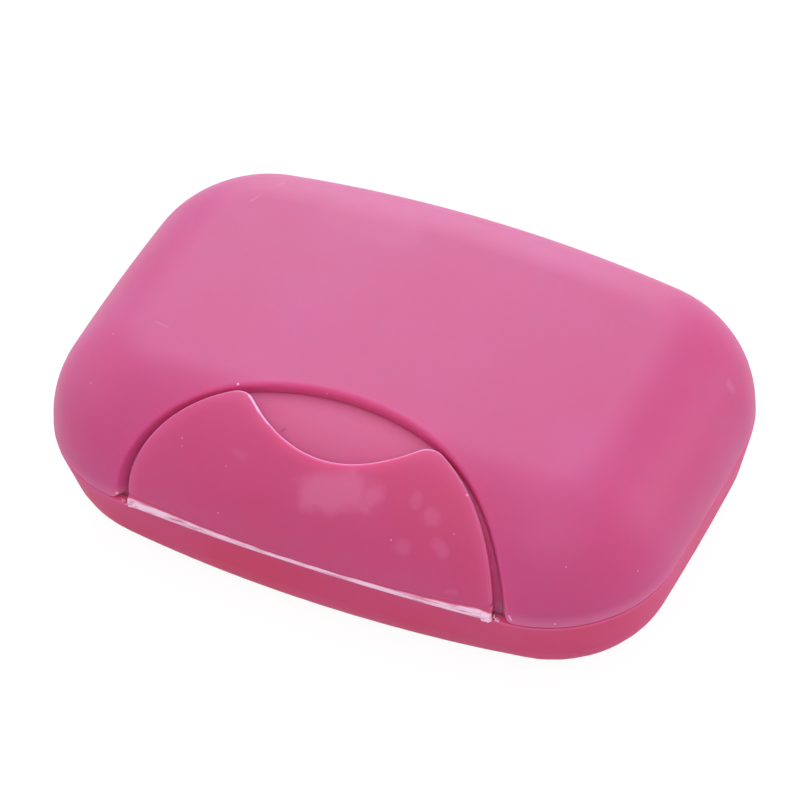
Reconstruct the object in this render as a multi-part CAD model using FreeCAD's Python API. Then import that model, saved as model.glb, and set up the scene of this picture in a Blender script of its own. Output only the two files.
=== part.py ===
"""Travel soap box: a tray, a crowned lid on a rear film hinge, and a front latch on its own film hinge.

Millimetres. The origin is at the middle of the underside, +X runs along the box, +Z is up and the
latch faces -Y. The whole box is one polypropylene moulding; its two film hinges and the three
rigid pieces that they join are separate solids here.
"""

import FreeCAD, Part
import math
import os
from FreeCAD import Vector

# Overall size
box_length = 112.0
box_width = 78.2
box_height = 39.1
rim_height = 16.9

# Plan outline, drawn at the rim, and the tighter bow of the long sides at the foot of the tray
long_bow_radius = 480.0
short_bow_radius = 600.0
corner_radius = 22.3
foot_bow_radius = 168.0

# Lid
lid_draft_angle = 3.1
lid_round_share = 0.81
crown_drop_long = 4.6
crown_drop_wide = 1.0
lid_wall = 1.8
lid_rim_round = 0.7
seam_gap = 0.15

# Base tray
base_draft_angle = 11.0
base_step = 0.15
base_round_share = 0.7
base_wall = 2.2
floor_thickness = 1.8
base_rim_round = 0.2

# Lip of the tray, which stands in a rebate of the lid's rim but for a gap at each film hinge
lip_height = 2.2
lip_clearance = 0.35
lip_root = 1.0
lip_end_gap = 1.6
skirt_thickness = 1.1

# Ribs that hold the soap off the wet floor
rib_count = 9
rib_pitch = 8.5
rib_thickness = 1.6
rib_height = 2.2
rib_margin = 6.5
rib_round = 0.6

# Recess of the latch: a disc in plan that reaches back from the front, drafted so that it widens downwards
recess_radius = 43.2
recess_reach = 20.0
recess_draft_angle = 2.0
recess_depth = 2.0
recess_wall = 1.8
recess_foot_round = 1.5

# Latch flap: a smaller disc in plan, in front of the recess's own by a gap, with a thumb scallop
flap_radius_step = 2.5
flap_back_gap = 1.2
flap_thickness = 1.7
flap_foot_round = 1.3
flap_edge_round = 0.5
scallop_radius = 22.0
scallop_depth = 11.0
tip_round = 3.5

# Snap bead inside the flap, and the groove in the recess that takes it
bead_radius = 1.5
bead_length = 24.0
bead_sink = 0.9
bead_margin = 3.0
bead_clearance = 0.3

# Film hinges, bowed like the sides, and the arched foot of the flap over the front one
hinge_length = 66.0
film_inset = 0.25
film_width = 0.6
foot_height = 0.85
foot_arch_rise = 1.9

# Overrun of cutting solids past what they cut, and how near a point on a surface is to it
overrun = 4.0
touch_tolerance = 0.001

half_length = box_length / 2
half_width = box_width / 2
seam_height = rim_height + seam_gap
lid_edge_round = lid_round_share * min(box_height - rim_height, corner_radius)
base_edge_round = base_round_share * rim_height
lid_taper = math.tan(math.radians(lid_draft_angle))
base_taper = math.tan(math.radians(base_draft_angle))
recess_setback = half_width - recess_reach
recess_slant = math.radians(recess_draft_angle)
flap_radius = recess_radius - flap_radius_step
flap_setback = recess_setback + flap_back_gap
scallop_setback = flap_setback + scallop_depth
bead_setback = scallop_setback + bead_margin
along = Vector(1, 0, 0)
up = Vector(0, 0, 1)


def arc(centre, radius, start, end):
    """A level arc between two directions, in radians."""
    return Part.ArcOfCircle(Part.Circle(centre, up, radius), start, end).toShape()


def corner_centre(long_bow):
    """Centre of the corner arc that is tangent to a long bow of this radius and to a short one."""
    long_centre = Vector(0, half_width - long_bow, 0)
    short_centre = Vector(half_length - short_bow_radius, 0, 0)
    from_long = long_bow - corner_radius
    from_short = short_bow_radius - corner_radius
    line = short_centre - long_centre
    foot = (from_long**2 - from_short**2 + line.Length**2) / (2 * line.Length)
    off_line = math.sqrt(from_long**2 - foot**2)
    direction = line / line.Length
    aside = Vector(direction.y, -direction.x, 0)
    return long_centre + direction * foot + aside * off_line


def outline_wire(inset, height, long_bow):
    """The plan outline moved in by inset: four bows, joined by four tangent corners."""
    corner = corner_centre(long_bow)
    short_reach = half_length - short_bow_radius
    long_reach = half_width - long_bow
    short_swing = math.atan2(corner.y, corner.x - short_reach)
    long_swing = math.atan2(corner.x, corner.y - long_reach)
    bows = [(short_reach, short_bow_radius, short_swing), (long_reach, long_bow, long_swing)]
    edges = []
    for side in range(4):
        reach, radius, swing = bows[side % 2]
        next_swing = bows[(side + 1) % 2][2]
        facing = side * math.pi / 2
        bow_centre = Vector(reach * math.cos(facing), reach * math.sin(facing), height)
        edges.append(arc(bow_centre, radius - inset, facing - swing, facing + swing))
        corner_x = corner.x if side in (0, 3) else -corner.x
        corner_y = corner.y if side in (0, 1) else -corner.y
        here = Vector(corner_x, corner_y, height)
        next_facing = facing + math.pi / 2
        edges.append(arc(here, corner_radius - inset, facing + swing, next_facing - next_swing))
    return Part.Wire(edges)


def tapered_solid(low_inset, low, high_inset, high, low_bow=long_bow_radius):
    """A solid between the outline at two heights, with its own long bows at the lower one."""
    wires = [outline_wire(low_inset, low, low_bow), outline_wire(high_inset, high, long_bow_radius)]
    return Part.makeLoft(wires, True, True)


def crowned_block(drop):
    """A block under the lid's crowned top surface, lowered by drop."""
    long_radius = half_length**2 / (2 * crown_drop_long) - drop
    wide_radius = half_width**2 / (2 * crown_drop_wide) - drop
    top = box_height - drop
    reach = half_length + overrun
    shoulder = top - long_radius + math.sqrt(long_radius**2 - reach**2)
    low = -rim_height
    left, right = Vector(-reach, 0, shoulder), Vector(reach, 0, shoulder)
    low_left, low_right = Vector(-reach, 0, low), Vector(reach, 0, low)
    crest = Part.Arc(left, Vector(0, 0, top), right).toShape()
    sides = [(right, low_right), (low_right, low_left), (low_left, left)]
    edges = [crest] + [Part.makeLine(start, end) for start, end in sides]
    face = Part.Face(Part.Wire(edges))
    axis_point = Vector(0, 0, top - wide_radius)
    swing = math.degrees(math.asin((half_width + overrun) / (top - wide_radius - low) * -1))
    face.rotate(axis_point, along, -swing)
    return face.revolve(axis_point, along, 2 * swing)


def lid_form(inset):
    """The lid's outer form moved in by inset: tapered walls under a crowned top, with one large edge round."""
    wall_inset = inset / math.cos(math.radians(lid_draft_angle))
    low = rim_height - overrun
    high = box_height + overrun
    low_inset = wall_inset - overrun * lid_taper
    high_inset = wall_inset + (high - rim_height) * lid_taper
    form = tapered_solid(low_inset, low, high_inset, high).common(crowned_block(inset)).Solids[0]
    top = max(form.Faces, key=lambda face: face.CenterOfMass.z)
    return form.makeFillet(lid_edge_round - inset, top.Edges)


def base_form(inset, low):
    """The tray's outer form moved in by inset, from a height up to the rim, with a round lower edge."""
    low_share = low / rim_height
    low_bow = 1 / (low_share / long_bow_radius + (1 - low_share) / foot_bow_radius)
    wall_inset = base_step + inset / math.cos(math.radians(base_draft_angle))
    low_inset = wall_inset + (rim_height - low) * base_taper
    form = tapered_solid(low_inset, low, wall_inset, rim_height, low_bow).Solids[0]
    bottom = min(form.Faces, key=lambda face: face.CenterOfMass.z)
    return form.makeFillet(base_edge_round - inset, bottom.Edges)


def half_block(half_span, side):
    """A block over one half of the box: side is -1 for the front and 1 for the back."""
    reach = half_width + overrun
    corner = Vector(-half_span, min(side, 0) * reach, 0)
    return Part.makeBox(2 * half_span, reach, box_height + overrun, corner)


def without_hinge_stretches(ring, spare):
    """Parts a ring that goes round the rim behind the latch and at the rear hinge."""
    disc_reach = recess_setback + recess_radius - half_width
    front_span = math.sqrt(recess_radius**2 - disc_reach**2) + recess_wall + spare
    rear_span = hinge_length / 2 + spare
    return ring.cut([half_block(front_span, -1), half_block(rear_span, 1)])


def recess_reach_at(height):
    """Radius of the recess's outline at a height."""
    return recess_radius - (height - rim_height) * math.tan(recess_slant)


def recess_bar():
    """The bar that sinks the recess: a drafted disc that flares at its foot, to round the lid's corners."""
    axis_y = -recess_setback - recess_radius
    bend_height = seam_height + recess_foot_round
    touch_height = bend_height + recess_foot_round * math.sin(recess_slant)
    touch_reach = recess_reach_at(touch_height)
    bend_reach = touch_reach + recess_foot_round * math.cos(recess_slant)
    half_turn = (math.pi / 2 + recess_slant) / 2
    middle_reach = bend_reach - recess_foot_round * math.sin(half_turn)
    middle_height = bend_height - recess_foot_round * math.cos(half_turn)
    low = seam_height - overrun
    top = box_height + overrun
    flare_start = Vector(0, axis_y - bend_reach, seam_height)
    flare_middle = Vector(0, axis_y - middle_reach, middle_height)
    flare_end = Vector(0, axis_y - touch_reach, touch_height)
    flare = Part.Arc(flare_start, flare_middle, flare_end).toShape()
    head = Vector(0, axis_y - recess_reach_at(top), top)
    foot = Vector(0, axis_y - bend_reach, low)
    rest = [flare_end, head, Vector(0, axis_y, top), Vector(0, axis_y, low), foot, flare_start]
    profile = Part.Wire([flare] + Part.makePolygon(rest).Edges)
    return Part.Face(profile).revolve(Vector(0, axis_y, 0), up, 360)


def recess_backing():
    """The bar inside the lid that leaves the recess its own wall."""
    low = recess_reach_at(0) + recess_wall
    high = recess_reach_at(box_height + overrun) + recess_wall
    return Part.makeCone(low, high, box_height + overrun, Vector(0, -recess_setback - recess_radius, 0))


def flap_prism():
    """The flap's outline in plan, with its thumb scallop and two rounded tips."""
    height = box_height + overrun
    disc = Part.makeCylinder(flap_radius, height, Vector(0, -flap_setback - flap_radius, 0))
    scallop_middle = Vector(0, scallop_radius - scallop_setback, -overrun)
    scallop = Part.makeCylinder(scallop_radius, height + 2 * overrun, scallop_middle)
    prism = disc.cut(scallop)
    upright = [edge for edge in prism.Edges if abs(edge.tangentAt(edge.FirstParameter).z) > 1 / 2]
    tips = sorted(upright, key=lambda edge: edge.CenterOfMass.y)[-2:]
    return prism.makeFillet(tip_round, tips)


def shared_edges(shape, first, second):
    """The edges of a shape whose middles lie on the surfaces of two other solids."""
    found = []
    for edge in shape.Edges:
        middle = Part.Vertex(edge.valueAt((edge.FirstParameter + edge.LastParameter) / 2))
        gaps = [solid.Shells[0].distToShape(middle)[0] for solid in (first, second)]
        if max(gaps) < touch_tolerance:
            found.append(edge)
    return found


def bead_bar(radius, length):
    """The snap bead's bar, sunk under the outer surface of the flap."""
    foot = Vector(0, -bead_setback, 0)
    probe = Part.makeLine(foot, foot + up * box_height).common(lid_form(bead_sink))
    centre = max((vertex.Point for vertex in probe.Vertexes), key=lambda point: point.z)
    return Part.makeCylinder(radius, length, centre - along * (length / 2), along)


def base_shell():
    """The tray: wall, floor, soap ribs and the lip that guides the lid."""
    lip_inset = skirt_thickness + lip_clearance
    inner_inset = base_step + base_wall / math.cos(math.radians(base_draft_angle))
    lip_top = rim_height + lip_height
    outer = base_form(0, 0)
    rim = max(outer.Faces, key=lambda face: face.CenterOfMass.z)
    outer = outer.makeFillet(base_rim_round, rim.Edges)
    lip = tapered_solid(
        lip_inset - lip_root * lid_taper,
        rim_height - lip_root,
        lip_inset + lip_height * lid_taper,
        lip_top,
    )
    shell = outer.fuse(without_hinge_stretches(lip, lip_end_gap))
    mouth = tapered_solid(
        inner_inset, rim_height, inner_inset + (lip_height + overrun) * lid_taper, lip_top + overrun
    )
    shell = shell.cut([base_form(base_wall, floor_thickness), mouth])
    return shell.fuse(soap_ribs()).removeSplitter()


def soap_ribs():
    """Round-topped ribs across the floor, ended on the plan outline."""
    low = floor_thickness / 2
    top = floor_thickness + rib_height
    inset = base_step + base_wall + (rim_height - floor_thickness) * base_taper + rib_margin
    patch = Part.Face(outline_wire(inset, low, foot_bow_radius)).extrude(up * (top - low))
    ribs = []
    for number in range(rib_count):
        middle = (number - (rib_count - 1) / 2) * rib_pitch
        corner = Vector(middle - rib_thickness / 2, -half_width, low)
        rib = Part.makeBox(rib_thickness, box_width, top - low, corner)
        crest = [edge for edge in rib.Edges if edge.BoundBox.ZMin > top - rib_round and edge.Length > rib_thickness]
        ribs.append(rib.makeFillet(rib_round, crest).common(patch))
    return ribs


def lid_shell():
    """The crowned lid, with the latch's recess in its front and a rebate inside its rim."""
    below = Part.makeBox(
        box_length + 2 * overrun,
        box_width + 2 * overrun,
        seam_height,
        Vector(-half_length - overrun, -half_width - overrun, 0),
    )
    form = lid_form(0)
    plain = form.cut(below)
    bar = recess_bar().cut(lid_form(recess_depth))
    sunk = plain.cut(bar)
    rounded = sunk.makeFillet(lid_rim_round, shared_edges(sunk, form, below) + shared_edges(sunk, form, bar))
    rear_corner = Vector(-hinge_length / 2, 0, seam_height)
    rear = plain.common(Part.makeBox(hinge_length, half_width + overrun, 2 * lid_rim_round, rear_corner))
    outer = rounded.fuse(rear)
    cavity = lid_form(lid_wall).cut(recess_backing().cut(lid_form(recess_depth + recess_wall)))
    rebate_height = lip_height + lip_clearance
    rebate = tapered_solid(
        skirt_thickness - overrun * lid_taper,
        rim_height - overrun,
        skirt_thickness + rebate_height * lid_taper,
        rim_height + rebate_height,
    )
    rebate = without_hinge_stretches(rebate, lip_end_gap - lip_clearance)
    groove = bead_bar(bead_radius + bead_clearance, bead_length + 2 * bead_clearance)
    return outer.cut([cavity, rebate, groove])


def foot_arch():
    """A bar along Y whose lowest line is the middle of the flap's arched foot."""
    radius = hinge_length**2 / (8 * foot_arch_rise)
    centre = Vector(0, -box_width, rim_height + foot_height + radius)
    return Part.makeCylinder(radius, box_width, centre, Vector(0, 1, 0))


def latch_flap():
    """The latch: a piece of the lid's own surface on an arched foot, with a snap bead inside."""
    prism = flap_prism()
    form = lid_form(0)
    arch = foot_arch()
    flap = prism.common(form).cut(lid_form(flap_thickness)).common(arch)
    flap = flap.makeFillet(flap_foot_round, shared_edges(flap, arch, prism))
    flap = flap.makeFillet(flap_edge_round, shared_edges(flap, form, prism))
    bead = bead_bar(bead_radius, bead_length).common(lid_form(bead_sink))
    return flap.fuse(bead).removeSplitter()


def hinge_film(side, height):
    """A thin bowed web that stands on the tray's rim, in front or behind."""
    outer = tapered_solid(film_inset, rim_height, film_inset + height * lid_taper, rim_height + height)
    inner_inset = film_inset + film_width
    inner = tapered_solid(inner_inset, rim_height, inner_inset + height * lid_taper, rim_height + height)
    return outer.cut(inner).common(half_block(hinge_length / 2, side))


def main():
    """Writes one STEP file for each piece."""
    os.makedirs("parts", exist_ok=True)
    pieces = {
        "base_shell": base_shell(),
        "lid_shell": lid_shell(),
        "latch_flap": latch_flap(),
        "latch_hinge_film": hinge_film(-1, foot_height + foot_arch_rise).cut(foot_arch()),
        "lid_hinge_film": hinge_film(1, seam_gap),
    }
    for name, shape in pieces.items():
        solids = shape.Solids
        print(name, len(solids), "solids, valid", shape.isValid(), "volume", round(shape.Volume, 1))
        solids[0].exportStep(f"parts/{name}.step")


main()
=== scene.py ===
"""Travel soap box: finishes, film hinges, torn shreds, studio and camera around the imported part.

Lengths are in metres, in the part's own frame: +X along the box, the latch faces -Y and +Z is up.
"""

import logging
import math
from dataclasses import dataclass
from enum import Enum
from typing import Any, Dict, List, Optional, Sequence, Tuple, Union

import bmesh
import bpy
from mathutils import Matrix, Vector
from mathutils.bvhtree import BVHTree


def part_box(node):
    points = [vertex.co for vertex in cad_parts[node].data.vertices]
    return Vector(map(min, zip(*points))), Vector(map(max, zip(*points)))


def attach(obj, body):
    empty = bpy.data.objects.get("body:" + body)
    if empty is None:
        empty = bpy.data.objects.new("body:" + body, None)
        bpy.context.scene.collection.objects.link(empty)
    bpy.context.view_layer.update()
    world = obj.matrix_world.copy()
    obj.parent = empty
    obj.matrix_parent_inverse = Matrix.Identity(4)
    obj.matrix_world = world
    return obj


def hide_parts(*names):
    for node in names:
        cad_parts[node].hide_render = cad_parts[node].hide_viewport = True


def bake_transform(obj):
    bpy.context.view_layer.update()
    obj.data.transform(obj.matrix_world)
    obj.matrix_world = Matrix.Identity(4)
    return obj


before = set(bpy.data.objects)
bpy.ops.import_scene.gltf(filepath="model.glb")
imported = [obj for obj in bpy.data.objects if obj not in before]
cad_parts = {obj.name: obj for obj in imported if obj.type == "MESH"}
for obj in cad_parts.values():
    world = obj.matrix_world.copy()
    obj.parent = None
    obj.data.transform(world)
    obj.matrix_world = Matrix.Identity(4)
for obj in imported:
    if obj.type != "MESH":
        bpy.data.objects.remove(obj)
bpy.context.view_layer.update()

log = logging.getLogger("soap_box")

MM = 0.001
PHOTO_WIDTH = 800
SENSOR_WIDTH = 36.0
FOLD_SHARE = "fold_share"
REFRACTION = 1.49

# Driving dimensions of the moulding that the films and the painted edge highlights follow
HALF_WIDTH = 39.1 * MM
LONG_BOW_RADIUS = 480 * MM
LID_DRAFT = math.radians(3.1)
RIM_HEIGHT = 16.9 * MM
FILM_FOOT_HEIGHT = 0.85 * MM
FLAP_BACK_Y = -20.3 * MM
FLAP_RADIUS = 40.7 * MM
SCALLOP_DEPTH = 11.0 * MM
SCALLOP_RADIUS = 22.0 * MM
TIP_ROUND = 3.5 * MM
FLAP_MIDDLE_Y = FLAP_BACK_Y - FLAP_RADIUS
SCALLOP_MIDDLE_Y = FLAP_BACK_Y - SCALLOP_DEPTH + SCALLOP_RADIUS

# The colour sockets of a Mix node, whose names are also those of its sockets for plain values
MIX_COLOURS = (6, 7)
MIX_RESULT = 2

# The output of a Random Value node that holds a plain value
RANDOM_VALUE = 1

Colour = Tuple[float, float, float]
Pixel = Tuple[float, float]
Span = Tuple[float, float]


class Side(Enum):
    """The side of the box that a film hinge is on; the value is the sign of Y there."""

    FRONT = -1
    BACK = 1


class Tone(Enum):
    """What a mark does to the plastic's colour."""

    SMEARED = "smeared"
    WHITENED_AND_HIGHLIGHT = "whitened"
    SOILED = "soiled"


def linear(red: float, green: float, blue: float) -> Colour:
    """Turns a display colour into the linear one that shaders take.

    Args:
        red: Red from 0 to 255.
        green: Green from 0 to 255.
        blue: Blue from 0 to 255.

    Returns:
        The linear colour, each part from 0 to 1.
    """
    shares = [part / 255 for part in (red, green, blue)]
    return tuple(s / 12.92 if s <= 0.04045 else ((s + 0.055) / 1.055) ** 2.4 for s in shares)


class Wire:
    """An output socket that takes part in Python expressions; each operator adds one Math node."""

    def __init__(self, graph: "Graph", socket: bpy.types.NodeSocket) -> None:
        """Keeps the socket and the graph that it is in."""
        self.graph = graph
        self.socket = socket

    def __add__(self, other: "Number") -> "Wire":
        """Sum of two values."""
        return self.graph.math("ADD", self, other)

    def __radd__(self, other: "Number") -> "Wire":
        """Sum with a plain number first."""
        return self.graph.math("ADD", other, self)

    def __sub__(self, other: "Number") -> "Wire":
        """Difference of two values."""
        return self.graph.math("SUBTRACT", self, other)

    def __rsub__(self, other: "Number") -> "Wire":
        """Difference with a plain number first."""
        return self.graph.math("SUBTRACT", other, self)

    def __mul__(self, other: "Number") -> "Wire":
        """Product of two values."""
        return self.graph.math("MULTIPLY", self, other)

    def __rmul__(self, other: "Number") -> "Wire":
        """Product with a plain number first."""
        return self.graph.math("MULTIPLY", other, self)

    def __truediv__(self, other: "Number") -> "Wire":
        """Quotient of two values."""
        return self.graph.math("DIVIDE", self, other)

    def __rtruediv__(self, other: "Number") -> "Wire":
        """Quotient with a plain number first."""
        return self.graph.math("DIVIDE", other, self)

    def __pow__(self, power: "Number") -> "Wire":
        """The value to a power."""
        return self.graph.math("POWER", self, power)

    def __abs__(self) -> "Wire":
        """The value without its sign."""
        return self.graph.math("ABSOLUTE", self)


Number = Union[float, Wire]


class Graph:
    """A node tree of a material, a world or a shape, with one way to add each kind of node."""

    def __init__(self, tree: bpy.types.NodeTree) -> None:
        """Takes an empty node tree."""
        self.tree = tree

    def node(
        self,
        kind: str,
        settings: Optional[Dict[str, Any]] = None,
        inputs: Optional[Dict[Union[str, int], Any]] = None,
    ) -> bpy.types.Node:
        """Adds a node, sets what it does and then fills its sockets.

        Args:
            kind: The node's type name.
            settings: Its own settings, such as an operation, by name.
            inputs: Values or wires for its input sockets, by name or number.

        Returns:
            The new node.
        """
        made = self.tree.nodes.new(kind)
        for name, value in (settings or {}).items():
            setattr(made, name, value)
        for name, value in (inputs or {}).items():
            if isinstance(value, Wire):
                self.tree.links.new(value.socket, made.inputs[name])
            else:
                made.inputs[name].default_value = value
        return made

    def wire(self, node: bpy.types.Node, output: Union[str, int] = 0) -> Wire:
        """One output of a node, ready for expressions."""
        return Wire(self, node.outputs[output])

    def math(self, operation: str, *values: Number) -> Wire:
        """Adds a Math node.

        Args:
            operation: The node's operation.
            values: Its one, two or three inputs.

        Returns:
            The result.
        """
        return self.wire(self.node("ShaderNodeMath", {"operation": operation}, dict(enumerate(values))))

    def most(self, masks: Sequence[Wire]) -> Wire:
        """The greatest of some masks at each place.

        Args:
            masks: One mask or more.

        Returns:
            The greatest of them.
        """
        whole = masks[0]
        for mask in masks[1:]:
            whole = self.math("MAXIMUM", whole, mask)
        return whole

    def vector(self, x: Number, y: Number, z: Number) -> Wire:
        """A vector from three values."""
        return self.wire(self.node("ShaderNodeCombineXYZ", inputs={"X": x, "Y": y, "Z": z}))

    def parts(self, vector: Wire) -> Tuple[Wire, Wire, Wire]:
        """The three parts of a vector."""
        split = self.node("ShaderNodeSeparateXYZ", inputs={"Vector": vector})
        return self.wire(split, "X"), self.wire(split, "Y"), self.wire(split, "Z")

    def vectors(self, operation: str, *values: Union[Wire, Sequence[float]]) -> bpy.types.Node:
        """Adds a Vector Math node on vectors that are wires or plain ones."""
        return self.node("ShaderNodeVectorMath", {"operation": operation}, dict(enumerate(values)))

    def scaled(self, vector: Wire, shares: Sequence[float]) -> Wire:
        """A vector with each part multiplied by its share."""
        return self.wire(self.vectors("MULTIPLY", vector, shares))

    def distance(self, place: Wire, spot: Sequence[float]) -> Wire:
        """How far a place is from a fixed spot."""
        return self.wire(self.vectors("DISTANCE", place, spot), "Value")

    def streak_distance(self, place: Wire, start: Vector, end: Vector) -> Wire:
        """How far a place is from a straight streak.

        Args:
            place: The place.
            start: One end of the streak.
            end: Its other end.

        Returns:
            The distance to the nearest point of the streak.
        """
        along = end - start
        away = self.wire(self.vectors("SUBTRACT", place, start))
        share = self.wire(self.vectors("DOT_PRODUCT", away, along / along.length_squared), "Value")
        held = self.math("MINIMUM", self.math("MAXIMUM", share, 0.0), 1.0)
        nearest = self.scaled(self.vector(held, held, held), along)
        return self.wire(self.vectors("DISTANCE", away, nearest), "Value")

    def noise(self, place: Wire, scale: float, detail: float = 2.0, roughness: float = 0.5) -> Wire:
        """Smooth noise from 0 to 1.

        Args:
            place: Where it is read.
            scale: How many features there are to a metre of the place.
            detail: Number of finer layers.
            roughness: How strong the finer layers are.

        Returns:
            The noise.
        """
        sockets = {"Vector": place, "Scale": scale, "Detail": detail, "Roughness": roughness}
        return self.wire(self.node("ShaderNodeTexNoise", inputs=sockets))

    def warped(self, place: Wire, size: float, reach: float) -> Wire:
        """A place pushed about by noise, so that what is drawn there has a ragged outline.

        Args:
            place: The place.
            size: The size of the noise's features.
            reach: How far it pushes.

        Returns:
            The pushed place.
        """
        swirl = self.node("ShaderNodeTexNoise", inputs={"Vector": place, "Scale": 1 / size, "Detail": 2.0})
        centred = self.wire(self.vectors("SUBTRACT", self.wire(swirl, "Color"), (0.5, 0.5, 0.5)))
        return self.wire(self.vectors("ADD", place, self.scaled(centred, (reach * 2,) * 3)))

    def ramp(self, value: Number, low: float, high: float) -> Wire:
        """A smooth rise from 0 to 1; it falls where low is the greater of its two ends.

        Args:
            value: What rises.
            low: Where the result is 0.
            high: Where the result is 1.

        Returns:
            The result.
        """
        sockets = {"Value": value, "From Min": low, "From Max": high}
        made = self.node("ShaderNodeMapRange", {"interpolation_type": "SMOOTHSTEP"}, sockets)
        return self.wire(made, "Result")

    def blend(self, share: Number, first: Union[Colour, Wire], second: Union[Colour, Wire]) -> Wire:
        """A colour between two, by a share from 0 to 1.

        Args:
            share: 0 for the first colour and 1 for the second.
            first: A colour or a wire with one.
            second: A colour or a wire with one.

        Returns:
            The colour between them.
        """
        sockets = {0: share}
        for number, colour in zip(MIX_COLOURS, (first, second)):
            sockets[number] = colour if isinstance(colour, Wire) else (*colour, 1)
        return self.wire(self.node("ShaderNodeMix", {"data_type": "RGBA"}, sockets), MIX_RESULT)


class Finish(Graph):
    """The node graph of a material with one Principled shader."""

    def __init__(self, name: str, constants: Dict[str, Any]) -> None:
        """Makes an empty material.

        Args:
            name: The material's name.
            constants: What the shader has all over, by socket name.
        """
        self.material = bpy.data.materials.new(name)
        self.material.use_nodes = True
        super().__init__(self.material.node_tree)
        self.tree.nodes.clear()
        self.shader = self.node("ShaderNodeBsdfPrincipled", inputs=constants)
        self.node("ShaderNodeOutputMaterial", inputs={"Surface": self.wire(self.shader)})
        self.place = self.wire(self.node("ShaderNodeTexCoord"), "Object")

    def height(self) -> Wire:
        """How high a place is above the underside."""
        return self.parts(self.place)[2]

    def plan_distance(self, middle_y: float) -> Wire:
        """How far a place is in plan from a spot on the box's middle line."""
        x, y, _ = self.parts(self.place)
        return self.distance(self.vector(x, y, 0.0), (0, middle_y, 0))

    def feed(self, socket: str, value: Wire) -> None:
        """Links a pattern to one of the shader's sockets."""
        self.tree.links.new(value.socket, self.shader.inputs[socket])

    def relief(self, height: Wire) -> None:
        """Raises the surface by a height in metres."""
        sockets = {"Height": height, "Distance": 1.0, "Strength": 1.0}
        self.feed("Normal", self.wire(self.node("ShaderNodeBump", inputs=sockets)))


@dataclass(frozen=True)
class ProductCamera:
    """A long lens above the front right corner, a little rolled."""

    azimuth: float = 25.99
    elevation: float = 44.21
    roll: float = -1.72
    distance: float = 882.4 * MM
    aim_height: float = 18 * MM
    focal_pixels: float = 5235.4
    shift_right_pixels: float = 4.4
    shift_down_pixels: float = 10.0
    nearest_seen: float = 50 * MM

    def axes(self) -> Tuple[Vector, Vector, Vector]:
        """The camera's own directions.

        Returns:
            Right, up and back, each of length 1.
        """
        azimuth, elevation, roll = (math.radians(a) for a in (self.azimuth, self.elevation, self.roll))
        flat_back = Vector((math.sin(azimuth), -math.cos(azimuth), 0))
        back = flat_back * math.cos(elevation) + Vector((0, 0, math.sin(elevation)))
        level = Vector((math.cos(azimuth), math.sin(azimuth), 0))
        above = back.cross(level)
        right = level * math.cos(roll) + above * math.sin(roll)
        up = above * math.cos(roll) - level * math.sin(roll)
        return right, up, back

    def spot(self) -> Vector:
        """Where the camera stands."""
        return Vector((0, 0, self.aim_height)) + self.axes()[2] * self.distance

    def ray(self, pixel: Pixel) -> Vector:
        """The direction from the camera through a pixel of the reference picture.

        Args:
            pixel: The pixel, counted from the picture's upper left corner.

        Returns:
            The direction, of length 1.
        """
        right, up, back = self.axes()
        across = pixel[0] - PHOTO_WIDTH / 2 - self.shift_right_pixels
        down = pixel[1] - PHOTO_WIDTH / 2 - self.shift_down_pixels
        return (right * across - up * down - back * self.focal_pixels).normalized()

    def build(self) -> None:
        """Adds the camera and makes it the scene's own."""
        lens = bpy.data.cameras.new("product_camera")
        lens.sensor_width = SENSOR_WIDTH
        lens.lens = self.focal_pixels / PHOTO_WIDTH * SENSOR_WIDTH
        lens.shift_x = -self.shift_right_pixels / PHOTO_WIDTH
        lens.shift_y = self.shift_down_pixels / PHOTO_WIDTH
        lens.clip_start = self.nearest_seen
        holder = bpy.data.objects.new("product_camera", lens)
        turned = Matrix(self.axes()).transposed().to_4x4()
        holder.matrix_world = Matrix.Translation(self.spot()) @ turned
        bpy.context.scene.collection.objects.link(holder)
        bpy.context.scene.camera = holder


CAMERA = ProductCamera()


@dataclass(frozen=True)
class Mark:
    """A trace of handling, and in a few cases a painted highlight: a spot, or a streak that goes on to a
    second place.
    """

    tone: Tone
    strength: float
    radius: float
    pixel: Pixel
    end: Optional[Pixel] = None
    soft_share: float = 0.5
    raggedness: float = 0.0

    def mask(self, finish: Finish, surface: BVHTree) -> Wire:
        """Draws the mark where the camera's rays through its pixels meet a surface.

        Args:
            finish: The graph of the surface's material.
            surface: The surface.

        Returns:
            A mask that has the mark's strength inside it and 0 outside.
        """
        spots = [surface.ray_cast(CAMERA.spot(), CAMERA.ray(p))[0] for p in (self.pixel, self.end) if p]
        place = finish.place
        if self.raggedness:
            place = finish.warped(place, self.radius, self.raggedness)
        if len(spots) > 1:
            reach = finish.streak_distance(place, *spots)
        else:
            reach = finish.distance(place, spots[0])
        return finish.ramp(reach, self.radius, self.radius * (1 - self.soft_share)) * self.strength


def smear(strength: float, radius: float, pixel: Pixel, end: Optional[Pixel] = None) -> Mark:
    """A soft ragged patch, paler than the plastic round it."""
    return Mark(Tone.SMEARED, strength, radius, pixel, end, soft_share=0.75, raggedness=radius * 0.42)


def speck(pixel: Pixel, radius: float = 0.17 * MM, strength: float = 0.6) -> Mark:
    """A pinpoint of pale dust or a nick."""
    return Mark(Tone.WHITENED_AND_HIGHLIGHT, strength, radius, pixel)


def scratch_and_highlight(pixel: Pixel, end: Pixel, strength: float, radius: float = 0.2 * MM) -> Mark:
    """A fine pale line."""
    return Mark(Tone.WHITENED_AND_HIGHLIGHT, strength, radius, pixel, end, soft_share=0.9)


def surface_of(shell: bpy.types.Object) -> BVHTree:
    """A piece's surface, ready for rays."""
    points = [vertex.co for vertex in shell.data.vertices]
    return BVHTree.FromPolygons(points, [face.vertices for face in shell.data.polygons])


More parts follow.
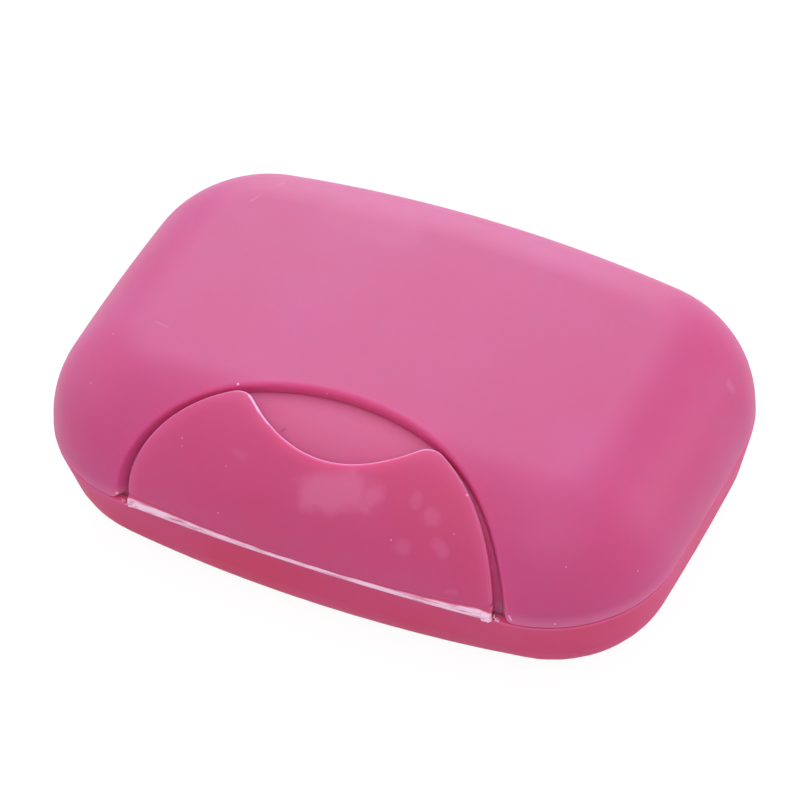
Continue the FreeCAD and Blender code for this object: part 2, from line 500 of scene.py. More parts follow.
def see_through(share: float, depth: float, depth_by_colour: Colour) -> Dict[str, Any]:
    """What a shader has all over so that light goes a little way into the plastic.

    Args:
        share: How much of the light goes in.
        depth: How far it goes.
        depth_by_colour: The share of that depth for red, green and blue.

    Returns:
        The shader's constants.
    """
    constants = {"IOR": REFRACTION, "Subsurface Weight": share, "Subsurface Scale": depth}
    return {**constants, "Subsurface Radius": depth_by_colour}


@dataclass(frozen=True)
class MouldedPlastic:
    """Satin polypropylene as it comes from the mould, with the small marks of handling and with light
    painted on its edges and in its groove.
    """

    name: str
    colour: Colour
    marks: Sequence[Mark] = ()
    lilac: Colour = linear(200, 92, 156)
    smeared: Colour = linear(232, 150, 190)
    # Colour of the painted highlights on edges and of the painted light in recesses
    painted_light_colour: Colour = linear(232, 172, 214)
    # Clearer red painted on as light in the groove, at thin edges and at the seam
    lit_through: Colour = linear(246, 84, 138)
    # Pale dust, nicks and lines, and the colour of the painted highlights along the scallop's edge
    whitened: Colour = linear(248, 214, 232)
    soiled: Colour = linear(120, 40, 78)
    specular: float = 0.27
    roughness: float = 0.46
    depth_share: float = 0.85
    depth: float = 7.0 * MM
    depth_by_colour: Colour = (1.0, 0.25, 0.45)
    mottle_size: float = 22 * MM
    mottle_span: Span = (0.32, 0.68)
    mottle_share: float = 0.2
    grain_size: float = 0.25 * MM
    grain_height: float = 0.004 * MM
    sink_size: float = 24 * MM
    sink_height: float = 0.10 * MM
    speck_spacing: float = 14 * MM
    speck_span: Span = (0.012, 0.004)
    speck_strength: float = 0.5
    scuff_size: float = 0.5 * MM
    scuff_stretch: float = 24.0
    scuff_turn: Tuple[float, float, float] = (0.3, 0.2, math.radians(28))
    scuff_span: Span = (0.70, 0.80)
    scuffed_areas_per_metre: float = 45.0
    scuffed_area_span: Span = (0.52, 0.70)
    patches_to_a_mottle: int = 3
    patch_roughness: float = 0.08
    scuff_roughness: float = 0.06
    painted_light_roughness: float = 0.25
    painted_light_strength: float = 0.10
    lit_strength: float = 0.12

    def build(self, shell: bpy.types.Object) -> Finish:
        """Makes the material for one moulding.

        Args:
            shell: The moulding, on which the marks are placed.

        Returns:
            The finish.
        """
        constants = see_through(self.depth_share, self.depth, self.depth_by_colour)
        finish = Finish(self.name, {**constants, "Specular IOR Level": self.specular})
        painted_light = self.painted_light(finish)
        tone = self.tone(finish, painted_light)
        finish.feed("Base Color", self.handled(finish, tone, surface_of(shell)))
        patches = finish.noise(finish.place, self.patches_to_a_mottle / self.mottle_size, 4.0, 0.6)
        rough = self.roughness + (patches - 0.5) * self.patch_roughness
        rough = rough + self.scuffs(finish) * self.scuff_roughness
        finish.feed("Roughness", rough + painted_light * self.painted_light_roughness)
        grain = finish.noise(finish.place, 1 / self.grain_size, 2.0)
        sink = finish.noise(finish.place, 1 / self.sink_size, 1.0)
        finish.relief(grain * self.grain_height + sink * self.sink_height)
        return finish

    def tone(self, finish: Finish, painted_light: Wire) -> Wire:
        """The plastic's colour, with its mottle, its painted light on edges and in the groove, and its
        specks.

        Args:
            finish: The material's graph.
            painted_light: Where light is painted on as a paler tone, on edges and in recesses.

        Returns:
            The colour.
        """
        mottle = finish.ramp(finish.noise(finish.place, 1 / self.mottle_size, 3.0), *self.mottle_span)
        tone = finish.blend(mottle * self.mottle_share, self.colour, self.lilac)
        # Painted light: a clearer red in the groove and at the seam, then paler painted highlights on edges
        # and the recess floor
        tone = finish.blend(self.lit(finish) * self.lit_strength, tone, self.lit_through)
        tone = finish.blend(painted_light * self.painted_light_strength, tone, self.painted_light_colour)
        return finish.blend(self.specks(finish) * self.speck_strength, tone, self.whitened)

    def handled(self, finish: Finish, tone: Wire, surface: BVHTree) -> Wire:
        """Lays the marks of handling, with the few painted highlights among them, over a colour, one kind
        after the other.

        Args:
            finish: The material's graph.
            tone: The colour.
            surface: The moulding's surface.

        Returns:
            The colour with the marks on it.
        """
        colours = {Tone.SMEARED: self.smeared, Tone.WHITENED_AND_HIGHLIGHT: self.whitened, Tone.SOILED: self.soiled}
        for kind, colour in colours.items():
            masks = [mark.mask(finish, surface) for mark in self.marks if mark.tone is kind]
            if masks:
                tone = finish.blend(finish.most(masks), tone, colour)
        return tone

    def painted_light(self, finish: Finish) -> Wire:
        """Where this moulding's colour is painted paler as light: highlights on its edges and light in its
        recesses.
        """
        raise NotImplementedError

    def lit(self, finish: Finish) -> Wire:
        """Where a clearer red is painted on as light, standing in for light that comes through thin walls
        and edges into the groove and the seam.
        """
        raise NotImplementedError

    def specks(self, finish: Finish) -> Wire:
        """Sparse pale pinpoints all over.

        Args:
            finish: The material's graph.

        Returns:
            A mask that is 1 on the points.
        """
        sockets = {"Vector": finish.place, "Scale": 1 / self.speck_spacing}
        cells = finish.node("ShaderNodeTexVoronoi", inputs=sockets)
        return finish.ramp(finish.wire(cells, "Distance"), *self.speck_span)

    def scuffs(self, finish: Finish) -> Wire:
        """Fine rub lines, long in one direction, in some areas only.

        Args:
            finish: The material's graph.

        Returns:
            A mask that is 1 along the lines.
        """
        sockets = {"Vector": finish.place, "Rotation": self.scuff_turn}
        turned = finish.wire(finish.node("ShaderNodeMapping", inputs=sockets))
        drawn = finish.scaled(turned, (1 / self.scuff_stretch, 1, 1))
        lines = finish.ramp(finish.noise(drawn, 1 / self.scuff_size, 0.0), *self.scuff_span)
        areas = finish.noise(finish.place, self.scuffed_areas_per_metre, 1.0)
        return lines * finish.ramp(areas, *self.scuffed_area_span)


@dataclass(frozen=True)
class TrayPlastic(MouldedPlastic):
    """The tray's plastic, with a clearer red and a paler tone painted on as light along its upper edge at
    the seam.
    """

    edge_height: float = 0.9 * MM
    full_painted_light_depth: float = 0.27 * MM

    def painted_light(self, finish: Finish) -> Wire:
        """The upper edge, where a paler tone is painted on as light."""
        return finish.ramp(finish.height(), RIM_HEIGHT - self.edge_height, RIM_HEIGHT)

    def lit(self, finish: Finish) -> Wire:
        """Where a clearer red is painted on as light: the upper edge and all that stands above it."""
        return finish.ramp(finish.height(), RIM_HEIGHT - self.edge_height, RIM_HEIGHT - self.full_painted_light_depth)


@dataclass(frozen=True)
class LidPlastic(MouldedPlastic):
    """The lid's plastic, with a painted highlight in a band along its rim and a clearer red painted on as
    light in the groove round the flap.
    """

    # Pinker colour of the lid's painted highlight along the rim and of the painted light on the recess floor
    painted_light_colour: Colour = linear(234, 130, 160)
    band_height: float = 3.4 * MM
    palest_height: float = 0.85 * MM
    seam_height: float = 0.35 * MM
    seam_share: float = 0.1
    recess_share: float = 0.62
    groove_width: float = 0.7 * MM
    ring_width: float = 1.19 * MM
    ring_full_width: float = 0.595 * MM
    painted_light_strength: float = 0.42
    mottle_share: float = 0.17
    lit_strength: float = 0.5
    lit_below: float = 38 * MM
    lit_fully_below: float = 27 * MM

    def painted_light(self, finish: Finish) -> Wire:
        """The painted highlight in a band along the rim, and more faintly painted light on the floor of the
        recess.

        Args:
            finish: The material's graph.

        Returns:
            A mask that is 1 near the rim.
        """
        low, high = RIM_HEIGHT + self.palest_height, RIM_HEIGHT + self.band_height
        band = finish.ramp(finish.height(), high, low)
        reach = finish.plan_distance(FLAP_MIDDLE_Y)
        floor = finish.ramp(reach, FLAP_RADIUS + self.groove_width, FLAP_RADIUS)
        return finish.most([band, floor * self.recess_share])

    def lit(self, finish: Finish) -> Wire:
        """Where a clearer red is painted on as light: the ring of the recess's floor that shows round the
        flap, most low down, and the lowest edge of the rim.

        Args:
            finish: The material's graph.

        Returns:
            A mask that is 1 there.
        """
        reach = finish.plan_distance(FLAP_MIDDLE_Y)
        outside = finish.ramp(reach, FLAP_RADIUS + self.ring_width, FLAP_RADIUS + self.ring_full_width)
        inside = finish.ramp(reach, FLAP_RADIUS - self.groove_width, FLAP_RADIUS)
        height = finish.height()
        low_down = finish.ramp(height, self.lit_below, self.lit_fully_below)
        seam = finish.ramp(height, RIM_HEIGHT + self.seam_height, RIM_HEIGHT)
        return finish.most([outside * inside * low_down, seam * self.seam_share])


@dataclass(frozen=True)
class LatchPlastic(MouldedPlastic):
    """The flap's plastic, with a painted highlight as a fine pale line along its edge and a clearer red
    painted on as light on its side wall in the groove.
    """

    # Width of the painted highlight line along the flap's outline
    line_width: float = 0.55 * MM
    line_full_width: float = 0.22 * MM
    plain_line_share: float = 0.45
    scallop_reach: float = 3.0 * MM
    scallop_gap: float = 0.24 * MM
    glow_width: float = 2.6 * MM
    glow_share: float = 0.10
    side_depth: float = 0.12 * MM
    side_full_depth: float = 0.036 * MM
    painted_light_strength: float = 0.66
    lit_strength: float = 1.0
    depth: float = 4.5 * MM

    def outlines(self, finish: Finish) -> Tuple[Wire, Wire]:
        """Places against the flap's outline in plan.

        Args:
            finish: The material's graph.

        Returns:
            How far inside the scallop's round a place is, and how far inside the flap's outline.
        """
        outside_flap = finish.plan_distance(FLAP_MIDDLE_Y) - FLAP_RADIUS
        inside_scallop = SCALLOP_RADIUS - finish.plan_distance(SCALLOP_MIDDLE_Y)
        outside = finish.math("SMOOTH_MAX", outside_flap, inside_scallop, self.tip_softness())
        return inside_scallop, 0.0 - outside

    def lit(self, finish: Finish) -> Wire:
        """Where a clearer red is painted on as light: the flap's side wall in the groove, apart from the
        scallop's wall.

        Args:
            finish: The material's graph.

        Returns:
            A mask that is 1 there.
        """
        inside_scallop, depth = self.outlines(finish)
        side = finish.ramp(depth, self.side_depth, self.side_full_depth)
        return side * finish.ramp(inside_scallop, -self.scallop_gap, -self.scallop_reach)

    def painted_light(self, finish: Finish) -> Wire:
        """The painted highlight: a line along the flap's outline, with a fainter band inside it.

        Args:
            finish: The material's graph.

        Returns:
            A mask that is 1 on the line.
        """
        inside_scallop, depth = self.outlines(finish)
        at_scallop = finish.ramp(0.0 - inside_scallop, self.scallop_reach, 0.0)
        strength = self.plain_line_share + at_scallop * (1 - self.plain_line_share)
        off_side = finish.ramp(depth, self.side_full_depth, self.side_depth)
        line = finish.ramp(depth, self.line_width, self.line_full_width) * off_side * strength
        glow = finish.ramp(depth, self.glow_width, 0.0) * self.glow_share
        return finish.most([line, glow])

    @staticmethod
    def tip_softness() -> float:
        """How softly the two outlines of the flap meet, so that the tips come out at their real round.

        Returns:
            The distance for a smooth greatest value, six times what it adds at the tip.
        """
        apart = SCALLOP_MIDDLE_Y - FLAP_MIDDLE_Y
        cosine = (FLAP_RADIUS**2 + SCALLOP_RADIUS**2 - apart**2) / (2 * FLAP_RADIUS * SCALLOP_RADIUS)
        added_at_tip = TIP_ROUND * (1 - math.sin(math.acos(cosine) / 2))
        return 6 * added_at_tip


@dataclass(frozen=True)
class WhitenedFilm:
    """Polypropylene that bending has turned white, with creases along the fold."""

    name: str
    milky: Colour
    clear: Colour
    white_from_share: float
    white_to_share: float
    white_strength: float = 1.0
    edge_share: float = 0.10
    depth_share: float = 0.2
    depth: float = 1.0 * MM
    depth_by_colour: Colour = (1.0, 0.6, 0.8)
    roughness: float = 0.42
    crease_roughness: float = 0.2
    crease_size: float = 0.22 * MM
    crease_stretch: float = 40.0
    crease_height: float = 0.05 * MM
    crease_weight: float = 0.8
    patches_per_metre: float = 700.0
    patch_stretch: float = 4.0
    patch_weight: float = 0.4
    clear_span: Span = (0.80, 0.56)

    def build(self) -> Finish:
        """Makes the material.

        Returns:
            The finish.
        """
        finish = Finish(self.name, see_through(self.depth_share, self.depth, self.depth_by_colour))
        drawn = finish.scaled(finish.place, (1 / self.crease_stretch, 1, 1))
        creases = finish.noise(drawn, 1 / self.crease_size, 4.0, 0.65)
        spread = finish.scaled(finish.place, (1 / self.patch_stretch, 1, 1))
        patches = finish.noise(spread, self.patches_per_metre, 3.0, 0.6)
        across = finish.wire(finish.node("ShaderNodeAttribute", {"attribute_name": FOLD_SHARE}), "Fac")
        wavy = across + (patches - 0.5) * self.edge_share * 2
        above = finish.ramp(wavy, self.white_from_share - self.edge_share, self.white_from_share)
        below = finish.ramp(wavy, self.white_to_share + self.edge_share, self.white_to_share)
        broken = finish.ramp(creases * self.crease_weight + patches * self.patch_weight, *self.clear_span)
        white = above * below * broken * self.white_strength
        finish.feed("Base Color", finish.blend(white, self.clear, self.milky))
        finish.feed("Roughness", self.roughness + creases * self.crease_roughness)
        finish.relief(creases * self.crease_height)
        return finish


# Marks of handling on the lid and the flap, with two painted highlights on the scallop's edge, at pixels of
# the reference picture
LID_MARKS = (
    speck((566, 567), strength=0.4),
    speck((638, 571), strength=0.4),
    speck((113, 334), strength=0.35),
    speck((91, 383), strength=0.35),
    speck((117, 493), 0.32 * MM, 0.8),
    speck((238, 384), 0.25 * MM, 0.8),
    speck((555, 624), 0.25 * MM, 0.4),
    scratch_and_highlight((156, 322), (168, 327), 0.10),
    scratch_and_highlight((251, 201), (284, 183), 0.10, 0.3 * MM),
    scratch_and_highlight((509, 616), (511, 620), 0.55, 0.28 * MM),
    smear(0.14, 1.2 * MM, (729, 384), (732, 389)),
    smear(0.05, 6.0 * MM, (340, 212), (400, 232)),
    Mark(Tone.SOILED, 0.35, 0.35 * MM, (285, 429), (282, 431), soft_share=0.9),
)
LATCH_MARKS = (
    smear(0.26, 4.4 * MM, (312, 494), (352, 490)),
    smear(0.18, 2.8 * MM, (366, 502), (376, 492)),
    smear(0.11, 1.5 * MM, (417, 498), (416, 504)),
    smear(0.14, 1.9 * MM, (431, 515), (433, 518)),
    smear(0.13, 2.2 * MM, (402, 547)),
    smear(0.14, 1.9 * MM, (439, 546), (442, 552)),
    smear(0.10, 0.8 * MM, (447, 592), (455, 592)),
    smear(0.07, 1.2 * MM, (237, 452), (243, 456)),
    speck((218, 513)),
    speck((391, 540)),
    speck((182, 438), strength=0.4),
    speck((182, 446), strength=0.25),
    speck((226, 466), strength=0.25),
    speck((454, 534), strength=0.3),
    speck((467, 495), 0.3 * MM, 0.35),
    # Painted highlights along the rounded scallop edge near the flap's left tip, drawn as pale lines
    scratch_and_highlight((249, 395), (259, 412), 0.5, 0.3 * MM),
    scratch_and_highlight((259, 412), (268, 424), 0.3, 0.3 * MM),
)

LID_PLASTIC = LidPlastic("lid_plastic", linear(195, 73, 125), LID_MARKS)
TRAY_PLASTIC = TrayPlastic("tray_plastic", linear(202, 67, 106), specular=0.15, roughness=0.6)
LATCH_PLASTIC = LatchPlastic("latch_plastic", linear(196, 71, 118), LATCH_MARKS)
STRESSED_FILM = WhitenedFilm(
    "stressed_film",
    milky=linear(244, 204, 228),
    clear=linear(198, 70, 118),
    white_from_share=-0.2,
    white_to_share=0.58,
)
REAR_FILM = WhitenedFilm(
    "rear_film",
    milky=linear(222, 150, 190),
    clear=linear(196, 78, 128),
    white_from_share=0.35,
    white_to_share=0.60,
    white_strength=0.6,
)


def dress(node: str, plastic: MouldedPlastic) -> bpy.types.Object:
    """Gives a CAD node its material.

    Args:
        node: The CAD node's name.
        plastic: The finish that it gets.

    Returns:
        The node's object.
    """
    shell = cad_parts[node]
    shell.data.materials.clear()
    shell.data.materials.append(plastic.build(shell).material)
    return shell


class Shape(Graph):
    """A geometry node tree with named inputs, and the mesh that it makes."""

    def __init__(self, name: str) -> None:
        """Makes an empty tree with one geometry output.

        Args:
            name: The name of the tree and of the piece that it makes.
        """
        self.name = name
        tree = bpy.data.node_groups.new(name, "GeometryNodeTree")
        tree.interface.new_socket("Geometry", in_out="OUTPUT", socket_type="NodeSocketGeometry")
        super().__init__(tree)
        self.values: Dict[str, Any] = {}
        self.group = self.node("NodeGroupInput")

    def size(self, name: str, value: Union[float, int, bpy.types.Material]) -> Wire:
        """Adds a named input.

        Args:
            name: The input's name.
            value: What it is set to: a length or number, a count, or a material.

        Returns:
            The input, ready for expressions.
        """
        kinds = {int: "NodeSocketInt", float: "NodeSocketFloat", bpy.types.Material: "NodeSocketMaterial"}
        socket = self.tree.interface.new_socket(name, in_out="INPUT", socket_type=kinds[type(value)])
        self.values[socket.identifier] = value
        return self.wire(self.group, name)

    def sizes(self, owner: Any, names: Sequence[str]) -> List[Wire]:
        """Adds an input for each of some of a piece's own fields, under the field's name."""
        return [self.size(name, getattr(owner, name)) for name in names]

    def mesh(self, geometry: Wire, finish: Finish) -> bpy.types.Object:
        """Ends the tree, runs it and keeps the result as a plain mesh.

        Args:
            geometry: What the tree has made.
            finish: The finish of the piece.

        Returns:
            The new object, with no modifier left on it.
        """
        whole = self.wire(self.node("GeometryNodeRealizeInstances", inputs={"Geometry": geometry}))
        material = self.size("material", finish.material)
        dressed = self.node("GeometryNodeSetMaterial", inputs={"Geometry": whole, "Material": material})
        self.node("NodeGroupOutput", inputs={"Geometry": self.wire(dressed)})
        holder = bpy.data.objects.new(self.name + "_tree", bpy.data.meshes.new(self.name + "_seed"))
        bpy.context.scene.collection.objects.link(holder)
        modifier = holder.modifiers.new("shape", "NODES")
        modifier.node_group = self.tree
        for identifier, value in self.values.items():
            modifier[identifier] = value
        graph = bpy.context.evaluated_depsgraph_get()
        mesh = bpy.data.meshes.new_from_object(holder.evaluated_get(graph), depsgraph=graph)
        bpy.data.objects.remove(holder)
        mesh.name = self.name
        piece = bpy.data.objects.new(self.name, mesh)
        bpy.context.scene.collection.objects.link(piece)
        return piece


@dataclass
class FilmHinge:
    """The thin bowed web of a film hinge, bent between the tray and what it carries."""

    name: str
    node: str
    body: str
    side: Side
    finish: WhitenedFilm
    slot: str
    foot_height: float
    end_rise: float
    inset: float = 0.18 * MM
    thickness: float = 0.5 * MM
    merge_distance: float = 0.001 * MM
    overlap: float = 0.15 * MM
    bulge: float = 0.10 * MM
    ripple: float = 0.12 * MM
    ripples_per_metre: float = 1400.0
    ripple_along_share: float = 0.12
    ripple_across: float = 1.8 * MM
    tuck: float = 0.45 * MM
    tuck_span: Span = (0.45, 0.95)
    bead: float = 0.45 * MM
    bead_span: Span = (0.72, 0.56)
    right_bead_rise: Span = (0.940, 0.952)
    right_bead_fall: Span = (1.01, 0.985)
    left_bead_rise: Span = (0.955, 0.985)
    left_bead_share: float = 0.6
    crumple: float = 0.8 * MM
    crumpled_share: float = 0.05
    ridges_per_metre: float = 1100.0
    ridge_across: float = 0.6 * MM
    ridge_level: float = 0.55
    columns: int = 520
    rows: int = 15

    def build(self) -> bpy.types.Object:
        """Makes the web as a closed thin wall in place of the CAD film, which it hides.

        Returns:
            The piece.
        """
        low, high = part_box(self.node)
        shape = Shape(self.name)
        web = self.web(shape, low, high)
        piece = shape.mesh(self.thickened(shape, web), self.finish.build())
        point_faces_out(piece.data)
        low.z + self.foot_height
        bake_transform(piece)
        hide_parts(self.node)
        return piece

    def web(self, shape: Shape, low: Vector, high: Vector) -> Wire:
        """Lays a fine grid along the bowed wall, as the film's outer surface.

        Args:
            shape: The piece's tree.
            low: The lowest corner of the room that the CAD film takes.
            high: Its highest corner.

        Returns:
            The surface.
        """
        length = shape.size("length", high.x - low.x)
        rim = shape.size("rim_height", low.z)
        foot, rise = shape.sizes(self, ("foot_height", "end_rise"))
        inset, overlap = shape.sizes(self, ("inset", "overlap"))
        bulge, ripple, tuck = shape.sizes(self, ("bulge", "ripple", "tuck"))
        columns, rows = shape.sizes(self, ("columns", "rows"))
        sockets = {"Size X": length, "Size Y": 1.0, "Vertices X": columns, "Vertices Y": rows}
        grid = shape.wire(shape.node("GeometryNodeMeshGrid", inputs=sockets), "Mesh")
        x, across, _ = shape.parts(shape.wire(shape.node("GeometryNodeInputPosition")))
        share = across + 0.5
        reach = x * 2 / length
        height = foot + rise * reach**2.0
        z = rim - overlap + share * (height + overlap * 2)
        wave_place = shape.vector(x * self.ripple_along_share, share * self.ripple_across, 0.0)
        wave = shape.noise(wave_place, self.ripples_per_metre, 3.0, 0.6) - 0.5
        wall = HALF_WIDTH - x * x / (2 * LONG_BOW_RADIUS) - (z - rim) * math.tan(LID_DRAFT)
        belly = bulge * shape.math("SINE", share * math.pi) + ripple * wave
        folded = tuck * shape.ramp(share, *self.tuck_span)
        ends = self.rolled_ends(shape, reach, share) + self.crumpled_ends(shape, x, reach, share)
        out = wall - inset + belly - folded + ends
        marked = shape.node(
            "GeometryNodeStoreNamedAttribute",
            {"data_type": "FLOAT", "domain": "POINT"},
            {"Geometry": grid, "Name": FOLD_SHARE, "Value": share},
        )
        place = shape.vector(x, out * self.side.value, z)
        sockets = {"Geometry": shape.wire(marked), "Position": place}
        return shape.wire(shape.node("GeometryNodeSetPosition", inputs=sockets))

    def rolled_ends(self, shape: Shape, reach: Wire, share: Wire) -> Wire:
        """How far the film's rolled ends stand out, the right one more than the left.

        Args:
            shape: The piece's tree.
            reach: The place along the film, from -1 at its left end to 1 at its right.
            share: The place across it, from 0 at the tray to 1 at what it carries.

        Returns:
            The distance outwards.
        """
        bead = shape.size("bead", self.bead)
        right = shape.ramp(reach, *self.right_bead_rise) * shape.ramp(reach, *self.right_bead_fall)
        left = shape.ramp(0.0 - reach, *self.left_bead_rise) * self.left_bead_share
        return bead * (right + left) * shape.ramp(share, *self.bead_span)

    def crumpled_ends(self, shape: Shape, x: Wire, reach: Wire, share: Wire) -> Wire:
        """How far the film's ends are crumpled out or in.

        Args:
            shape: The piece's tree.
            x: The place along the box.
            reach: The place along the film, from -1 at its left end to 1 at its right.
            share: The place across it, from 0 at the tray to 1 at what it carries.

        Returns:
            The distance outwards.
        """
        crumple = shape.size("crumple", self.crumple)
        torn = shape.ramp(abs(reach), 1 - self.crumpled_share, 1.0)
        ridge_place = shape.vector(x, share * self.ridge_across, 0.0)
        ridges = shape.noise(ridge_place, self.ridges_per_metre, 2.0) - self.ridge_level
        return crumple * torn * ridges

    def thickened(self, shape: Shape, front: Wire) -> Wire:
        """Gives the film's outer surface its thickness, as a closed wall.

        Args:
            shape: The piece's tree.
            front: The outer surface.

        Returns:
            The wall.
        """
        thickness = shape.size("thickness", self.thickness)
        inward = shape.vector(0.0, thickness * -self.side.value, 0.0)
        backed = shape.node(
            "GeometryNodeExtrudeMesh",
            {"mode": "FACES"},
            {"Mesh": front, "Offset": inward, "Offset Scale": 1.0, "Individual": False},
        )
        flipped = shape.wire(shape.node("GeometryNodeFlipFaces", inputs={"Mesh": front}))
        both = shape.node("GeometryNodeJoinGeometry")
        for part in (flipped, shape.wire(backed, "Mesh")):
            shape.tree.links.new(part.socket, both.inputs[0])
        sockets = {"Geometry": shape.wire(both), "Distance": self.merge_distance}
        return shape.wire(shape.node("GeometryNodeMergeByDistance", inputs=sockets))


@dataclass
class TornShreds:
    """Small whitened shreds of plastic where one end of the latch's film has begun to tear."""

    name: str
    end_sign: int
    count: int
    seed: int
    spread: float = 1.1 * MM
    height: float = 0.9 * MM
    length: float = 0.75 * MM
    width: float = 0.16 * MM
    tip_width: float = 0.02 * MM
    most_turn: float = 2.4
    least_width_share: float = 0.5
    flat_share: float = 0.6
    least_length_share: float = 0.4
    facets: int = 7

    def build(self) -> bpy.types.Object:
        """Scatters the shreds just past the film's end.

        Returns:
            The piece.
        """
        low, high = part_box("latch_hinge_film")
        shape = Shape(self.name)
        first = shape.size("first_x", high.x + self.width)
        rim = shape.size("rim_height", low.z)
        spread, height, count = shape.sizes(self, ("spread", "height", "count"))
        length, width = shape.sizes(self, ("length", "width"))
        away, rise = [self.chance(shape, number) for number in (0, 1)]
        x = (first + spread * away) * self.end_sign
        y = (HALF_WIDTH - x * x / (2 * LONG_BOW_RADIUS) - width * 2) * Side.FRONT.value
        place = shape.vector(x, y, rim + height * rise * rise)
        spots = shape.node("GeometryNodePoints", inputs={"Count": count, "Position": place})
        cone = {"Vertices": self.facets, "Radius Top": self.tip_width, "Radius Bottom": width}
        shred = shape.node("GeometryNodeMeshCone", inputs={**cone, "Depth": length})
        turns = shape.vector(*[(self.chance(shape, number) - 0.5) * self.most_turn for number in (2, 3, 4)])
        wider = self.least_width_share + self.chance(shape, 5)
        longer = self.least_length_share + self.chance(shape, 6)
        placed = shape.node(
            "GeometryNodeInstanceOnPoints",
            inputs={
                "Points": shape.wire(spots),
                "Instance": shape.wire(shred),
                "Rotation": turns,
                "Scale": shape.vector(wider, self.flat_share, longer),
            },
        )
        piece = shape.mesh(shape.wire(placed), STRESSED_FILM.build())
        point_faces_out(piece.data)
        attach(piece, "base")
        return piece

    def chance(self, shape: Shape, number: int) -> Wire:
        """A random value from 0 to 1 for each shred, the same on every run."""
        made = shape.node("FunctionNodeRandomValue", {"data_type": "FLOAT"}, {"Seed": self.seed + number})
        return shape.wire(made, RANDOM_VALUE)


def point_faces_out(mesh: bpy.types.Mesh) -> None:
    """Turns a closed mesh's faces outwards and smooths its shading.

    Args:
        mesh: The mesh, whose doubles are merged.
    """
    work = bmesh.new()
    work.from_mesh(mesh)
    bmesh.ops.recalc_face_normals(work, faces=work.faces)
    work.to_mesh(mesh)
    work.free()
    mesh.shade_smooth()


@dataclass(frozen=True)
class SoftBox:
    """A soft lamp that faces the object."""

    name: str
    place: Tuple[float, float, float]
    width: float
    power: float
    colour: Colour = (1.0, 1.0, 1.0)

    def build(self) -> None:
        """Adds the lamp, turned towards the middle of the object."""
        lamp = bpy.data.lights.new(self.name, "AREA")
        lamp.shape = "SQUARE"
        lamp.size = self.width
        lamp.energy = self.power
        lamp.color = self.colour
        holder = bpy.data.objects.new(self.name, lamp)
        holder.location = self.place
        holder.rotation_euler = (-Vector(self.place)).to_track_quat("-Z", "Y").to_euler()
        bpy.context.scene.collection.objects.link(holder)


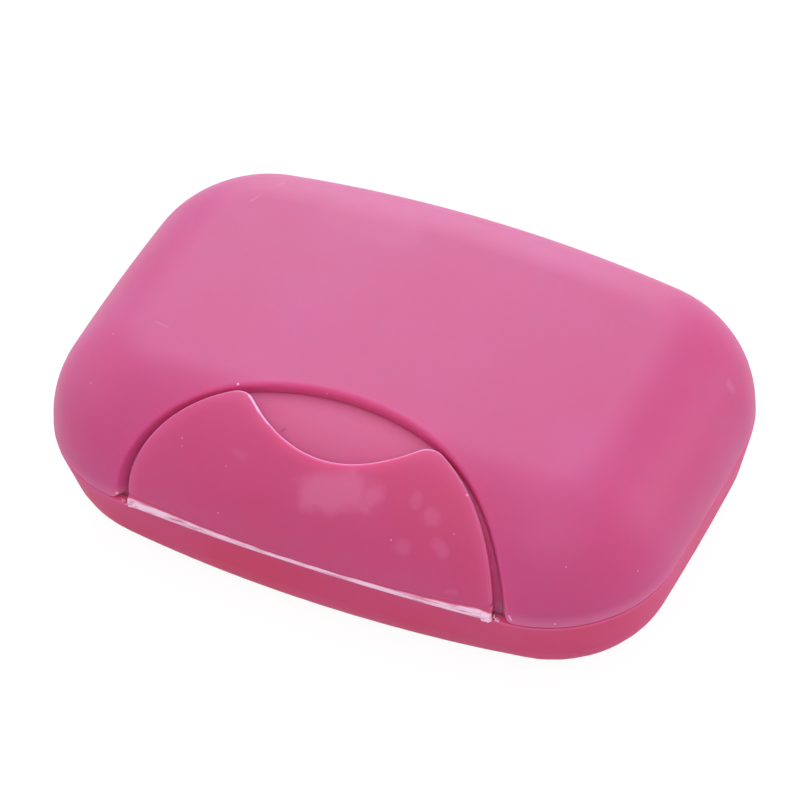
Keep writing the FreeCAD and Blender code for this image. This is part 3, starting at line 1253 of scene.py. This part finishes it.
@dataclass
class Studio:
    """A white sweep, an even surround and soft lamps, with the camera."""

    floor_size: float = 8.0
    floor_drop: float = 0.02 * MM
    surround_strength: float = 0.52
    floor_glow: float = 0.93
    floor_tone: float = 0.11
    bounce_tone: float = 0.80
    lamps: Sequence[SoftBox] = (
        SoftBox("back_soft", (-0.41, 0.84, 0.91), 1.0, 7.9, (0.57, 0.98, 1.0)),
        SoftBox("back_low", (-0.45, 1.15, 0.42), 0.7, 4.4, (0.60, 1.0, 1.0)),
        SoftBox("overhead", (0.0, 0.1, 1.1), 0.8, 2.5),
        SoftBox("left_side", (-1.0, -0.1, 0.45), 0.7, 1.7),
        SoftBox("right_back", (0.95, 0.55, 0.35), 0.6, 3.1),
        SoftBox("camera_side", (0.40, -0.80, 1.00), 0.8, 6.2, (1.0, 0.85, 0.89)),
    )

    def build(self) -> None:
        """Adds the floor, the surround, the lamps and the camera."""
        bpy.context.scene.view_settings.view_transform = "Standard"
        self.floor()
        self.surround()
        for lamp in self.lamps:
            lamp.build()
            log.info("%s gives %.1f watts", lamp.name, lamp.power)
        CAMERA.build()

    @staticmethod
    def seen_share(graph: Graph) -> Wire:
        """1 for rays that show the surround itself, directly or in a gloss, and 0 for light."""
        path = graph.node("ShaderNodeLightPath")
        return graph.most(
            [graph.wire(path, name) for name in ("Is Camera Ray", "Is Glossy Ray", "Is Transmission Ray")]
        )

    def floor(self) -> None:
        """Adds a floor that looks white, keeps a faint shadow and throws back plain light."""
        half = self.floor_size / 2
        plan = ((-half, -half), (half, -half), (half, half), (-half, half))
        corners = [(x, y, -self.floor_drop) for x, y in plan]
        mesh = bpy.data.meshes.new("floor")
        mesh.from_pydata(corners, [], [(0, 1, 2, 3)])
        mesh.materials.append(self.floor_paper())
        floor = bpy.data.objects.new("floor", mesh)
        bpy.context.scene.collection.objects.link(floor)

    def floor_paper(self) -> bpy.types.Material:
        """Makes the floor's material, which glows to look at and is plain to the light.

        Returns:
            The material.
        """
        material = bpy.data.materials.new("floor_paper")
        material.use_nodes = True
        graph = Graph(material.node_tree)
        graph.tree.nodes.clear()
        tones = [(tone, tone, tone, 1) for tone in (self.bounce_tone, self.floor_tone)]
        plain, shadowed = [graph.node("ShaderNodeBsdfDiffuse", inputs={"Color": tone}) for tone in tones]
        glow = graph.node("ShaderNodeEmission", inputs={"Strength": self.floor_glow})
        lit = graph.node("ShaderNodeAddShader", inputs={0: graph.wire(shadowed), 1: graph.wire(glow)})
        both = graph.node(
            "ShaderNodeMixShader",
            inputs={0: self.seen_share(graph), 1: graph.wire(plain), 2: graph.wire(lit)},
        )
        graph.node("ShaderNodeOutputMaterial", inputs={"Surface": graph.wire(both)})
        return material

    def surround(self) -> None:
        """Adds a world that is white to look at and lights the object evenly."""
        world = bpy.data.worlds.new("surround")
        world.use_nodes = True
        bpy.context.scene.world = world
        graph = Graph(world.node_tree)
        graph.tree.nodes.clear()
        even, white = [
            graph.node("ShaderNodeBackground", inputs={"Color": (1, 1, 1, 1), "Strength": strength})
            for strength in (self.surround_strength, 1.0)
        ]
        both = graph.node(
            "ShaderNodeMixShader",
            inputs={0: self.seen_share(graph), 1: graph.wire(even), 2: graph.wire(white)},
        )
        graph.node("ShaderNodeOutputWorld", inputs={"Surface": graph.wire(both)})


@dataclass
class SoapBox:
    """The whole box: the three rigid mouldings, the two films that join them and the torn shreds."""

    def build(self) -> None:
        """Dresses the CAD nodes and builds the films and the shreds."""
        for node, plastic in (
            ("base_shell", TRAY_PLASTIC),
            ("lid_shell", LID_PLASTIC),
            ("latch_flap", LATCH_PLASTIC),
        ):
            shell = dress(node, plastic)
            log.info("%s has the finish %s with %d marks", shell.name, plastic.name, len(plastic.marks))
        shreds = [
            TornShreds("shreds_right", end_sign=1, count=9, seed=11),
            TornShreds("shreds_left", end_sign=-1, count=4, seed=37),
        ]
        for part in (*self.films(), *shreds):
            piece = part.build()
            log.info("%s has %d faces", piece.name, len(piece.data.polygons))

    @staticmethod
    def films() -> List[FilmHinge]:
        """The two film hinges, sized by the room that the CAD nodes take.

        Returns:
            The latch's film, which widens towards its ends, and the lid's even one.
        """
        front_low, front_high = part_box("latch_hinge_film")
        front_rise = front_high.z - front_low.z - FILM_FOOT_HEIGHT
        rear_low, rear_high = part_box("lid_hinge_film")
        return [
            FilmHinge(
                "latch_film",
                node="latch_hinge_film",
                body="latch",
                side=Side.FRONT,
                finish=STRESSED_FILM,
                slot="stressed_film",
                foot_height=FILM_FOOT_HEIGHT,
                end_rise=front_rise,
            ),
            FilmHinge(
                "lid_film",
                node="lid_hinge_film",
                body="lid",
                side=Side.BACK,
                finish=REAR_FILM,
                slot="hinge_film",
                foot_height=rear_high.z - rear_low.z,
                end_rise=0.0,
                bulge=0.0,
                tuck=0.0,
                bead=0.0,
                crumple=0.0,
            ),
        ]


def main() -> None:
    """Builds the box and the studio."""
    logging.basicConfig(level=logging.INFO, format="%(name)s: %(message)s")
    SoapBox().build()
    Studio().build()


if __name__ == "__main__":
    main()
